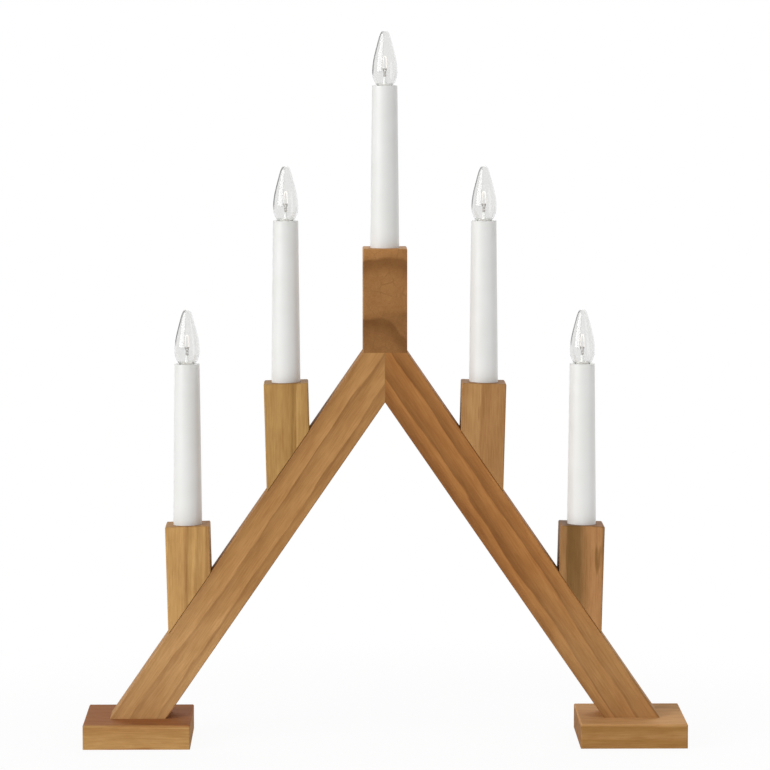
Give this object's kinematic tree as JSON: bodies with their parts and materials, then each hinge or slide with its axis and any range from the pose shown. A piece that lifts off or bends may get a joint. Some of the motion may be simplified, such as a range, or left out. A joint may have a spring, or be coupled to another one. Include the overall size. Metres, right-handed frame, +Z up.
{
  "type": "electric candle arch",
  "caption": "Wooden A-shaped candle arch on flat feet, with plumb white candle tubes on blocks and clear screw-in flame lamps wired in series.",
  "frame": {"origin": "on the table under the middle of the arch, at the bottom centre of the bounding box", "axes": "+X along the arch to the viewer's right, +Y away from the viewer, +Z up"},
  "size_m": [0.3954, 0.08, 0.4677],
  "materials": {
    "wood": "oiled",
    "tube_plastic": "satin",
    "holder_plastic": "matte",
    "lamp_glass": "clear",
    "brass": "rolled",
    "insulator": "vitreous black",
    "solder": "soldered",
    "lead_wire": "drawn",
    "wire_insulation": "matte",
    "screw_steel": "zinc plated",
    "bush_rubber": "moulded"
  },
  "bodies": {
    "stand": {"foot_left": "wood", "foot_right": "wood", "leg_left": "wood", "leg_right": "wood", "block_top": "wood", "block_upper_left": "wood", "block_upper_right": "wood", "block_lower_left": "wood", "block_lower_right": "wood", "candle_tube_top": "tube_plastic", "lamp_holder_top": "holder_plastic", "candle_tube_upper_left": "tube_plastic", "lamp_holder_upper_left": "holder_plastic", "candle_tube_upper_right": "tube_plastic", "lamp_holder_upper_right": "holder_plastic", "candle_tube_lower_left": "tube_plastic", "lamp_holder_lower_left": "holder_plastic", "candle_tube_lower_right": "tube_plastic", "lamp_holder_lower_right": "holder_plastic", "lamp_contacts": "brass", "series_wires": "wire_insulation", "foot_screws": "screw_steel", "cord_bush": "bush_rubber"},
    "lamp_contact_top": {"bulb_tip_top": "solder"},
    "lamp_top": {"bulb_cap_top": "brass", "bulb_insulator_top": "insulator", "bulb_glass_top": "lamp_glass", "bulb_stem_top": "lamp_glass", "bulb_filament_top": "lead_wire"},
    "lamp_contact_upper_left": {"bulb_tip_upper_left": "solder"},
    "lamp_upper_left": {"bulb_cap_upper_left": "brass", "bulb_insulator_upper_left": "insulator", "bulb_glass_upper_left": "lamp_glass", "bulb_stem_upper_left": "lamp_glass", "bulb_filament_upper_left": "lead_wire"},
    "lamp_contact_upper_right": {"bulb_tip_upper_right": "solder"},
    "lamp_upper_right": {"bulb_cap_upper_right": "brass", "bulb_insulator_upper_right": "insulator", "bulb_glass_upper_right": "lamp_glass", "bulb_stem_upper_right": "lamp_glass", "bulb_filament_upper_right": "lead_wire"},
    "lamp_contact_lower_left": {"bulb_tip_lower_left": "solder"},
    "lamp_lower_left": {"bulb_cap_lower_left": "brass", "bulb_insulator_lower_left": "insulator", "bulb_glass_lower_left": "lamp_glass", "bulb_stem_lower_left": "lamp_glass", "bulb_filament_lower_left": "lead_wire"},
    "lamp_contact_lower_right": {"bulb_tip_lower_right": "solder"},
    "lamp_lower_right": {"bulb_cap_lower_right": "brass", "bulb_insulator_lower_right": "insulator", "bulb_glass_lower_right": "lamp_glass", "bulb_stem_lower_right": "lamp_glass", "bulb_filament_lower_right": "lead_wire"}
  },
  "joints": [
    {"name": "lift_top", "type": "slide", "parent": "stand", "child": "lamp_contact_top", "axis": [0, 0, 1], "range_m": [0, 0.0091]},
    {"name": "turn_top", "type": "hinge", "parent": "lamp_contact_top", "child": "lamp_top", "pos_m": [0, 0, 0.43169], "axis": [0, 0, 1], "range_deg": [0, 1800]},
    {"name": "lift_upper_left", "type": "slide", "parent": "stand", "child": "lamp_contact_upper_left", "axis": [0, 0, 1], "range_m": [0, 0.0091]},
    {"name": "turn_upper_left", "type": "hinge", "parent": "lamp_contact_upper_left", "child": "lamp_upper_left", "pos_m": [-0.06492, 0, 0.34341], "axis": [0, 0, 1], "range_deg": [0, 1800]},
    {"name": "lift_upper_right", "type": "slide", "parent": "stand", "child": "lamp_contact_upper_right", "axis": [0, 0, 1], "range_m": [0, 0.0091]},
    {"name": "turn_upper_right", "type": "hinge", "parent": "lamp_contact_upper_right", "child": "lamp_upper_right", "pos_m": [0.06492, 0, 0.34341], "axis": [0, 0, 1], "range_deg": [0, 1800]},
    {"name": "lift_lower_left", "type": "slide", "parent": "stand", "child": "lamp_contact_lower_left", "axis": [0, 0, 1], "range_m": [0, 0.0091]},
    {"name": "turn_lower_left", "type": "hinge", "parent": "lamp_contact_lower_left", "child": "lamp_lower_left", "pos_m": [-0.12984, 0, 0.2493], "axis": [0, 0, 1], "range_deg": [0, 1800]},
    {"name": "lift_lower_right", "type": "slide", "parent": "stand", "child": "lamp_contact_lower_right", "axis": [0, 0, 1], "range_m": [0, 0.0091]},
    {"name": "turn_lower_right", "type": "hinge", "parent": "lamp_contact_lower_right", "child": "lamp_lower_right", "pos_m": [0.12984, 0, 0.2493], "axis": [0, 0, 1], "range_deg": [0, 1800]}
  ],
  "couplings": [
    {"joint": "lift_top", "follows": "turn_top", "m_per_rad": 0.00028871},
    {"joint": "lift_upper_left", "follows": "turn_upper_left", "m_per_rad": 0.00028871},
    {"joint": "lift_upper_right", "follows": "turn_upper_right", "m_per_rad": 0.00028871},
    {"joint": "lift_lower_left", "follows": "turn_lower_left", "m_per_rad": 0.00028871},
    {"joint": "lift_lower_right", "follows": "turn_lower_right", "m_per_rad": 0.00028871}
  ]
}
